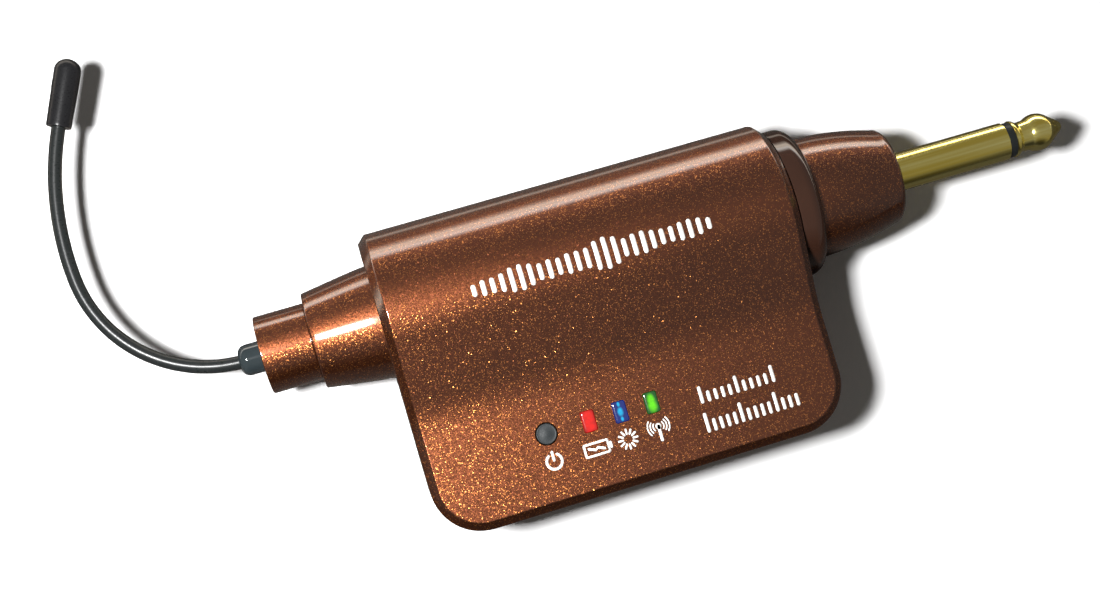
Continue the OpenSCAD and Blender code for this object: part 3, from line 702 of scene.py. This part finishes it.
def build_plug_insulator():
    """The ring between sleeve and tip, with a thinner part that runs back into the sleeve."""
    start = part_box("plug_sleeve")[1].x
    rear = start - 3 * MM
    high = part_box("plug_insulator")[1]
    ring_r = high.y - 0.04 * MM
    bore = 1.3 * MM
    outline = [(rear, bore), (rear, INSULATOR_CORE_R), (start, INSULATOR_CORE_R), (start, ring_r),
               (high.x, ring_r), (high.x, bore)]
    lathed("plug_insulator_ring", softened(outline, 0.1 * MM, True), INSULATOR,
           ["plug_insulator"], "case", closed=True)


def build_plug_tip():
    """The tip: a collar, a waist, and a ball that runs out to a small rounded point."""
    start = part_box("plug_insulator")[1].x
    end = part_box("plug_tip")[1].x
    rear = start - 3 * MM
    rod_r = 1.2 * MM
    ball_r = 3.12 * MM
    ball_x = end - 4.6 * MM
    waist_r = 2.45 * MM
    collar_r = ball_r - 0.05 * MM
    collar = softened([(start, rod_r), (start, collar_r), (start + 0.45 * MM, collar_r),
                       (start + 1.35 * MM, waist_r)], 0.25 * MM)
    ball = arc(ball_x, 0, ball_r, math.pi - math.asin(waist_r / ball_r), math.radians(48), 20)
    point = softened([ball[-1], (end - 0.35 * MM, 0.75 * MM), (end, 0)], 0.4 * MM)[1:]
    outline = [(rear, 0), (rear, rod_r)] + collar + ball[1:] + point
    lathed("plug_tip_plated", outline, GOLD, ["plug_tip"], "case")


def build_collar():
    """The tapered collar, which widens towards the case, with a thinner part seated in the case's end."""
    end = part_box("antenna_collar")[0].x
    wide = 9.2 * MM
    narrow = 7.7 * MM
    taper = list(reversed(bulged(CASE_X0, wide, end, narrow, 1.15)))
    rear = softened([(end, BUSH_BORE), taper[0], taper[1]], 0.22 * MM)[:-1]
    seat = [(CASE_X0, SEAT_R), (CASE_X0 + WALL, SEAT_R), (CASE_X0 + WALL, BUSH_BORE)]
    lathed("collar", rear + taper[1:] + seat, PAINT, ["antenna_collar"], "case", closed=True)


def build_bush():
    """The straight bush beyond the collar, with a pocket for the boot and a stem that runs into the case."""
    low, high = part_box("antenna_bush")
    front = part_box("antenna_collar")[0].x - 0.04 * MM
    bush_r = 6.25 * MM
    stem_r = BUSH_BORE - FIT
    pocket_r = 2.55 * MM
    pocket_x = low.x + 4 * MM
    outline = [(pocket_x, SIGNAL_HOLE_R), (pocket_x, pocket_r), (low.x, pocket_r), (low.x, bush_r),
               (front, bush_r), (front, stem_r), (high.x, stem_r), (high.x, SIGNAL_HOLE_R)]
    outline = softened(outline, 0.28 * MM, True)
    lathed("bush", outline, PAINT, ["antenna_bush"], "case", closed=True)


def build_boot():
    """The boot round the whip's root, its outer end rounded."""
    low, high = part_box("antenna_boot")
    bore = WHIP_R + 0.02 * MM
    round_r = 1.4 * MM
    outline = [(high.x, bore), (high.x, high.y)]
    outline += arc(low.x + round_r, high.y - round_r, round_r, math.pi / 2, math.pi, 12)
    outline += [(low.x, bore)]
    lathed("boot", outline, BOOT, ["antenna_boot"], "case", closed=True)


# ---- Whip ----

# The whip's curl has two radii: one round its first joints and a wider one round the rest.
LINKS = len(JOINTS)
NEAR_LINKS = 5
STEPS = 24


def circle_through(a, b, c):
    """Centre of the circle through three points in the XY plane."""
    ab = b - a
    ac = c - a
    cross = 2 * (ab.x * ac.y - ab.y * ac.x)
    x = (ac.y * ab.length_squared - ab.y * ac.length_squared) / cross
    y = (ab.x * ac.length_squared - ac.x * ab.length_squared) / cross
    return a + Vector((x, y, 0))


def turned_about(point, middle, angle):
    """A point turned about a middle in the XY plane."""
    return middle + Matrix.Rotation(angle, 3, "Z") @ (point - middle)


def bend_between(start, end, middle, steps):
    """Centreline points on the arc from start to end about a middle."""
    a = start - middle
    b = end - middle
    angle = math.atan2(a.x * b.y - a.y * b.x, a.dot(b))
    return [turned_about(start, middle, angle * i / steps) for i in range(steps + 1)]


NEAR_MIDDLE = circle_through(*JOINTS[:3])
FAR_MIDDLE = circle_through(*JOINTS[-3:])
WHIP_START = Vector((NEAR_MIDDLE.x, 0, 0))


def whip_end():
    """The cap's mouth on the centreline, and the whip's heading there."""
    step = (JOINTS[-1] - FAR_MIDDLE).angle(JOINTS[-2] - FAR_MIDDLE)
    mouth = turned_about(JOINTS[-1], FAR_MIDDLE, -step)
    spoke = mouth - FAR_MIDDLE
    heading = Vector((spoke.y, -spoke.x, 0)).normalized()
    return mouth, heading


WHIP_END, END_HEADING = whip_end()


def whip_line():
    """The whip's centreline as (point, heading) pairs, and how many of them are in its straight root."""
    corners = [WHIP_START] + JOINTS + [WHIP_END]
    root = [Vector((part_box("whip_root")[1].x, 0, 0)), WHIP_START + Vector((1 * MM, 0, 0))]
    points = list(root)
    for i, (a, b) in enumerate(zip(corners, corners[1:])):
        middle = NEAR_MIDDLE if i < NEAR_LINKS else FAR_MIDDLE
        points += bend_between(a, b, middle, STEPS)[:-1]
    points += [WHIP_END, WHIP_END + END_HEADING * (CAP_LENGTH - 2.5 * MM)]
    line_up = zip(points, points[:1] + points, points[1:] + points[-1:])
    return [(point, (after - before).normalized()) for point, before, after in line_up], len(root)


def tube(name, path, radius, spokes=40):
    """A closed round tube along a centreline of (point, heading) pairs in the XY plane."""
    up = Vector((0, 0, 1))
    angles = [2 * math.pi * i / spokes for i in range(spokes)]
    rows = []
    for point, heading in path:
        side = Vector((-heading.y, heading.x, 0))
        rows.append([point + radius * (math.cos(a) * side + math.sin(a) * up) for a in angles])
    return stacked(name, rows)


def build_whip():
    """One tube piece round each joint, from the middle of one link to the middle of the next."""
    path, root_points = whip_line()
    middles = [root_points + link * STEPS + STEPS // 2 for link in range(LINKS + 1)]
    for i in range(1, LINKS + 1):
        start = 0 if i == 1 else middles[i - 1]
        stop = len(path) if i == LINKS else middles[i] + 1
        piece = tube("whip_%d" % i, path[start:stop], WHIP_R)
        nodes = ["whip_root", "whip_link_1"] if i == 1 else ["whip_link_%d" % i]
        dress(piece, WHIP, nodes, even=False)
        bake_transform(piece)


def build_cap():
    """The cap: a bore for the whip's end, a slightly widening side and a domed top."""
    across = Vector((-END_HEADING.y, END_HEADING.x, 0))
    turn = Matrix((END_HEADING, across, (0, 0, 1))).transposed().to_4x4()
    place = Matrix.Translation(WHIP_END) @ turn
    full_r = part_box("antenna_cap")[1].z - 0.02 * MM
    mouth_r = full_r - 0.14 * MM
    bore = WHIP_R + 0.05 * MM
    bore_end = CAP_LENGTH - 2.4 * MM
    dome = 0.9 * full_r
    inside = [(bore_end, 0), (bore_end, bore)]
    side = [(0, bore), (0, mouth_r), (0.5 * MM, mouth_r + 0.03 * MM), (CAP_LENGTH - 4 * MM, full_r)]
    quarter = arc(0, 0, 1, math.pi / 2, 0, 14)[:-1]
    top = [(CAP_LENGTH - dome + dome * along, full_r * out) for along, out in quarter] + [(CAP_LENGTH, 0)]
    outline = inside + softened(side, 0.18 * MM) + top
    lathed("cap", outline, CAP, ["antenna_cap"], "antenna_%d" % LINKS, place, 64)


# ---- Controls ----

def build_button():
    """The button: a flange that stays under the face, and a round post with a shallow dish in its top."""
    low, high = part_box("power_button")
    middle = centre("power_button")
    height = high.z - low.z
    flange_r = high.x - middle.x
    flange = 0.75 * MM
    radius = 1.6 * MM
    dish_r = 0.82 * radius
    dish = 0.06 * MM
    dish_steps = [i / 8 for i in range(9)]
    side = [(0, 0), (0, flange_r), (flange, flange_r), (flange, radius), (height - 0.28 * MM, radius)]
    crown = [(height - dish - dish * math.cos(math.pi * t), dish_r * (1 - t)) for t in dish_steps]
    shoulder = curve((height - 0.26 * MM, radius), (height - 0.02 * MM, radius),
                     (crown[0][0], crown[0][1] + 0.03 * MM), 6)
    outline = softened(side, 0.08 * MM) + shoulder + crown
    place = Matrix.Translation((middle.x, middle.y, low.z)) @ Matrix.Rotation(-math.pi / 2, 4, "Y")
    lathed("button_top", outline, BUTTON, ["power_button"], "button", place, 64)


def build_lamps():
    """The lamps' lenses: rounded blocks whose top edges fall away in (inset, drop) steps, in millimetres."""
    edge_steps = ((0, 2.2), (0, 0.28), (0.07, 0.1), (0.2, 0.02), (0.4, 0), (0.7, 0))
    for node, material in zip(LAMPS, (RED_LAMP, BLUE_LAMP, GREEN_LAMP)):
        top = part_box(node)[1].z
        middle = centre(node)
        rows = []
        for inset, drop in edge_steps:
            across = LAMP_W / 2 - inset * MM
            along = LAMP_L / 2 - inset * MM
            outline = rounded_rectangle(middle.x - across, middle.y - along, middle.x + across,
                                        middle.y + along, 0.3 * MM)
            rows.append([(x, y, top - drop * MM) for x, y in outline])
        dress(stacked(node + "_lens", rows), material, [node], "case")


# ---- Print on the front ----

# How far the print's top stands above the surface, and how thick it is.
LIFT = 0.012 * MM
INK = 0.03 * MM


def front_height(y):
    """Height of the front surface at a place y: on the barrel, the ramp, the blend or the flat face."""
    tangent = -BARREL_R * math.sin(RAMP)
    crease = crease_y()
    reach = BLEND_R * math.tan(RAMP / 2)
    if y > tangent:
        return math.sqrt(BARREL_R ** 2 - y * y)
    if y > crease + reach * math.cos(RAMP):
        return (BARREL_R + y * math.sin(RAMP)) / math.cos(RAMP)
    if y > crease - reach:
        return FACE_Z + BLEND_R - math.sqrt(BLEND_R ** 2 - (y - crease + reach) ** 2)
    return FACE_Z


def stroke(bm, path, width, closed=False):
    """A painted line of even width along a path of (x, y) points, with round ends, on the front surface."""
    half = width / 2
    points = [Vector(p) for p in path]
    rows = []
    for i, point in enumerate(points):
        before = points[i - 1] if closed or i else point
        after = points[(i + 1) % len(points)] if closed or i < len(points) - 1 else point
        rows.append((point, (after - before).normalized(), half))
    if not closed:
        add_round_ends(rows, half)
    pairs = []
    for point, along, spread in rows:
        across = Vector((-along.y, along.x)) * spread
        sides = (point + across, point - across)
        pairs.append([bm.verts.new((side.x, side.y, front_height(side.y) + LIFT)) for side in sides])
    for a, b in zip(pairs, pairs[1:] + pairs[:1] if closed else pairs[1:]):
        bm.faces.new([a[0], b[0], b[1], a[1]])


def add_round_ends(rows, half, steps=4):
    """Adds narrowing rows beyond both ends of a stroke's (point, heading, half width) rows."""
    first, last = rows[0], rows[-1]
    for i in range(1, steps + 1):
        angle = math.pi / 2 * i / steps
        reach = half * math.sin(angle)
        spread = half * max(math.cos(angle), 0.05)
        rows.insert(0, (first[0] - first[1] * reach, first[1], spread))
        rows.append((last[0] + last[1] * reach, last[1], spread))


def line(x0, y0, x1, y1, steps=6):
    """Evenly spaced points along a straight line."""
    return [(x0 + (x1 - x0) * i / steps, y0 + (y1 - y0) * i / steps) for i in range(steps + 1)]


def print_piece(name, bm):
    """Finished strokes as one thin piece of white print."""
    piece = make_object(name, bm)
    thickness = piece.modifiers.new("ink", "SOLIDIFY")
    thickness.thickness = INK
    thickness.offset = -1
    dress(piece, PRINT, body="case", even=False)


def print_wave():
    """A row of bars whose heights follow a sound wave, along the barrel's crest."""
    x0 = CASE_X0 + 14.8 * MM
    x1 = CASE_X0 + 52.4 * MM
    y = -0.35 * MM
    bars = 26
    bm = bmesh.new()
    for i in range(bars):
        t = i / (bars - 1)
        x = x0 + (x1 - x0) * t
        swell = math.sin(math.pi * t) ** 0.6
        beat = abs(math.sin(7.3 * t + 0.5) * math.cos(17 * t))
        half = (0.55 + 1.65 * swell * (0.25 + 0.75 * beat)) * MM
        stroke(bm, line(x, y - half, x, y + half, 8), 0.75 * MM)
    print_piece("print_wave", bm)


def tick_row(bm, start, end, y, height, ticks):
    """A row of ticks, every fifth of them tall. Start and end are millimetres from the case's left end."""
    foot = (y - height / 2) * MM
    for i in range(ticks):
        x = CASE_X0 + (start + (end - start) * i / (ticks - 1)) * MM
        tall = height if i % 5 == 0 else 0.55 * height
        stroke(bm, line(x, foot, x, foot + tall * MM), 0.55 * MM)


def print_scale():
    """Two rows of ticks, like the scale beside a dial."""
    bm = bmesh.new()
    tick_row(bm, start=44.4, end=56.2, y=-25.4, height=2.2, ticks=11)
    tick_row(bm, start=44.1, end=58.9, y=-29.8, height=2.6, ticks=14)
    print_piece("print_scale", bm)


def icon_row():
    """Middle line of the icons, under the button and the lamps."""
    return centre("power_button").y - 4.4 * MM


def print_power():
    """An open ring with a bar in its gap, under the button."""
    bm = bmesh.new()
    x = centre("power_button").x
    row = icon_row()
    gap = math.radians(34)
    width = 0.42 * MM
    stroke(bm, arc(x, row, 1.2 * MM, math.pi / 2 + gap, 2.5 * math.pi - gap, 30), width)
    stroke(bm, line(x, row + 0.2 * MM, x, row + 1.5 * MM), width)
    print_piece("print_power", bm)


def print_battery():
    """A battery's outline with a bolt across it, under the red lamp."""
    bm = bmesh.new()
    x = centre("lamp_red").x
    row = icon_row()
    half = Vector((1.9 * MM, 0.95 * MM))
    knob_x = x + half.x + 0.4 * MM
    knob = 0.35 * MM
    outline = rounded_rectangle(x - half.x, row - half.y, x + half.x, row + half.y, 0.12 * MM, 3)
    stroke(bm, outline, 0.34 * MM, closed=True)
    stroke(bm, line(knob_x, row - knob, knob_x, row + knob), 0.4 * MM)
    bolt = [(-1.2, 0.25), (-0.2, -0.15), (0.2, 0.15), (1.2, -0.25)]
    stroke(bm, [(x + a * MM, row + b * MM) for a, b in bolt], 0.42 * MM)
    print_piece("print_battery", bm)


def print_burst():
    """A ring of short rays, under the blue lamp."""
    bm = bmesh.new()
    middle = Vector((centre("lamp_blue").x, icon_row()))
    rays = 12
    for i in range(rays):
        angle = 2 * math.pi * i / rays
        ray = Vector((math.cos(angle), math.sin(angle)))
        start = middle + 0.85 * MM * ray
        end = middle + 1.5 * MM * ray
        stroke(bm, line(start.x, start.y, end.x, end.y), 0.32 * MM)
    print_piece("print_burst", bm)


def print_antenna():
    """A mast with a knob and three waves to each side of it, under the green lamp."""
    bm = bmesh.new()
    x = centre("lamp_green").x
    row = icon_row()
    knob = row + 0.55 * MM
    stroke(bm, line(x, row - 1.6 * MM, x, knob), 0.5 * MM)
    stroke(bm, line(x, knob, x, knob + 0.05 * MM, 1), 0.95 * MM)
    spread = math.radians(38)
    for wave in range(3):
        radius = (0.85 + 0.45 * wave) * MM
        for facing in (0, math.pi):
            stroke(bm, arc(x, knob, radius, facing - spread, facing + spread, 12), 0.22 * MM)
    print_piece("print_antenna", bm)


# ---- CAD nodes that stay ----

def paint_nodes():
    """Gives each CAD node the finish that its slot is named after."""
    steel = plain("steel", (0.55, 0.55, 0.57), 0.28, metallic=1.0, grain=0.3 * MM)
    green = plain("board_green", (0.02, 0.12, 0.05), 0.35, grain=0.5 * MM, coat=0.5)
    chip = plain("chip_black", (0.02, 0.02, 0.022), 0.55, grain=0.15 * MM)
    ceramic = plain("chip_parts", (0.35, 0.27, 0.17), 0.5, grain=0.2 * MM)
    foil = plain("cell_foil", (0.62, 0.63, 0.65), 0.32, metallic=0.9, grain=0.6 * MM, depth=0.03 * MM)
    foam = plain("foam", (0.05, 0.05, 0.052), 0.9, grain=0.25 * MM, depth=0.08 * MM)
    dark = plain("dark_plastic", (0.03, 0.03, 0.032), 0.5)
    nylon = plain("white_nylon", (0.75, 0.75, 0.71), 0.5)
    red = plain("lead_red", (0.45, 0.02, 0.015), 0.45)
    black = plain("lead_black", (0.02, 0.02, 0.02), 0.45)
    finishes = {
        "steel": steel, "gold_plate": GOLD, "board_green": green, "chip_black": chip, "chip_parts": ceramic,
        "cell_foil": foil, "foam": foam, "dark_plastic": dark, "white_nylon": nylon, "lead_red": red,
        "lead_black": black, "case_paint": PAINT, "whip_rubber": WHIP, "cap_vinyl": CAP, "boot_gloss": BOOT,
        "button_grey": BUTTON, "lamp_red": RED_LAMP, "lamp_blue": BLUE_LAMP, "lamp_green": GREEN_LAMP,
    }
    for node in frame["nodes"].values():
        for slot in node.material_slots:
            slot.material = finishes[slot.material.name.split(".")[0]]


# ---- Floor, light and camera ----

def build_floor():
    """A pale floor. Glossy surfaces see it dark near the object, but for one thin pale band, and pale
    further off, so that the barrel's far side shows two streaks. The camera sees it pale all over."""
    low, high = cad_box
    reach = 3.0
    bm = bmesh.new()
    for x, y in ((-reach, -reach), (reach, -reach), (reach, reach), (-reach, reach)):
        bm.verts.new((x, y, low[2] - 0.02 * MM))
    bm.faces.new(bm.verts)
    floor = make_object("floor", bm)

    finish = Finish("floor_pale", Roughness=0.8)
    path = finish.node("ShaderNodeLightPath")
    mirrored = path.outputs["Is Glossy Ray"]
    seen = path.outputs["Is Camera Ray"]
    y = finish.node("ShaderNodeSeparateXYZ", [(0, finish.coords)]).outputs[1]
    far_streak = finish.span(y, 80 * MM, 200 * MM, 0.0, 6.0)
    off_band = finish.maths("ABSOLUTE", finish.maths("SUBTRACT", y, 36 * MM))
    near_streak = finish.span(off_band, 5 * MM, 1 * MM, 0.0, 1.2)
    reflection_streaks = finish.maths("MULTIPLY", finish.maths("MAXIMUM", far_streak, near_streak), mirrored)
    from_middle = finish.vector("SUBTRACT", finish.coords, ((low[0] + high[0]) / 2, 0, 0))
    away = finish.node("ShaderNodeVectorMath", [(0, from_middle)], operation="LENGTH").outputs["Value"]
    glow = finish.maths("MULTIPLY", finish.span(away, 0.16, 0.5, 0.0, 0.9), seen)
    speckle = finish.mix(finish.noise(40 * MM), rgb(0.9, 0.9, 0.9), rgb(0.93, 0.93, 0.93))
    finish.set("Base Color", finish.mix(mirrored, speckle, rgb(0.04, 0.035, 0.03)))
    finish.set("Emission Color", finish.mix(mirrored, rgb(1.0, 1.0, 1.0), rgb(1.0, 0.87, 0.72)))
    finish.set("Emission Strength", finish.maths("ADD", reflection_streaks, glow))
    floor.data.materials.append(finish.material)


def build_key():
    """One small soft lamp above and beyond the case's left end, aimed at the case's middle."""
    light = bpy.data.lights.new("key", "AREA")
    light.size = 36 * MM
    light.energy = 1.6
    key = bpy.data.objects.new("key", light)
    key.location = (CASE_X0 - 77 * MM, 8 * MM, 240 * MM)
    target = Vector(((CASE_X0 + CASE_X1) / 2, 0, 0))
    key.rotation_euler = (target - key.location).to_track_quat("-Z", "Y").to_euler()
    key.visible_camera = False
    bpy.context.scene.collection.objects.link(key)


def build_room():
    """Dim surroundings. Mirrors see them dark towards the front and bright low down at the far side."""
    room = Room(diffuse=0.07, seen=0.85)
    _, y, z = room.node("ShaderNodeSeparateXYZ", [(0, room.coords)]).outputs
    overhead = room.span(y, -0.95, -0.7, 0.03, 0.27)
    low_down = room.span(z, 0.15, 0.04, 0.0, 1.0)
    horizon = room.maths("MULTIPLY", room.span(y, 0.5, 0.8, 0.0, 6.5), low_down)
    room.light(room.maths("ADD", overhead, horizon))


def build_camera():
    """The camera looks down on the front from above the case's left end, turned so the plug points up."""
    camera = bpy.data.cameras.new("camera")
    camera.lens = 52
    camera.sensor_width = 36
    camera.clip_start = 0.01
    holder = bpy.data.objects.new("camera", camera)
    holder.location = (CASE_X0 - 1.23 * MM, -16.38 * MM, 253.2 * MM)
    holder.rotation_euler = [math.radians(angle) for angle in (4.436, -5.328, -16.597)]
    bpy.context.scene.collection.objects.link(holder)
    bpy.context.scene.camera = holder
    bpy.context.scene.view_settings.view_transform = "Standard"


paint_nodes()
build_front()
build_back()
build_ring()
build_nose()
build_plug_sleeve()
build_plug_insulator()
build_plug_tip()
build_collar()
build_bush()
build_boot()
build_whip()
build_cap()
build_button()
build_lamps()
print_wave()
print_scale()
print_power()
print_battery()
print_burst()
print_antenna()
build_floor()
build_key()
build_room()
build_camera()
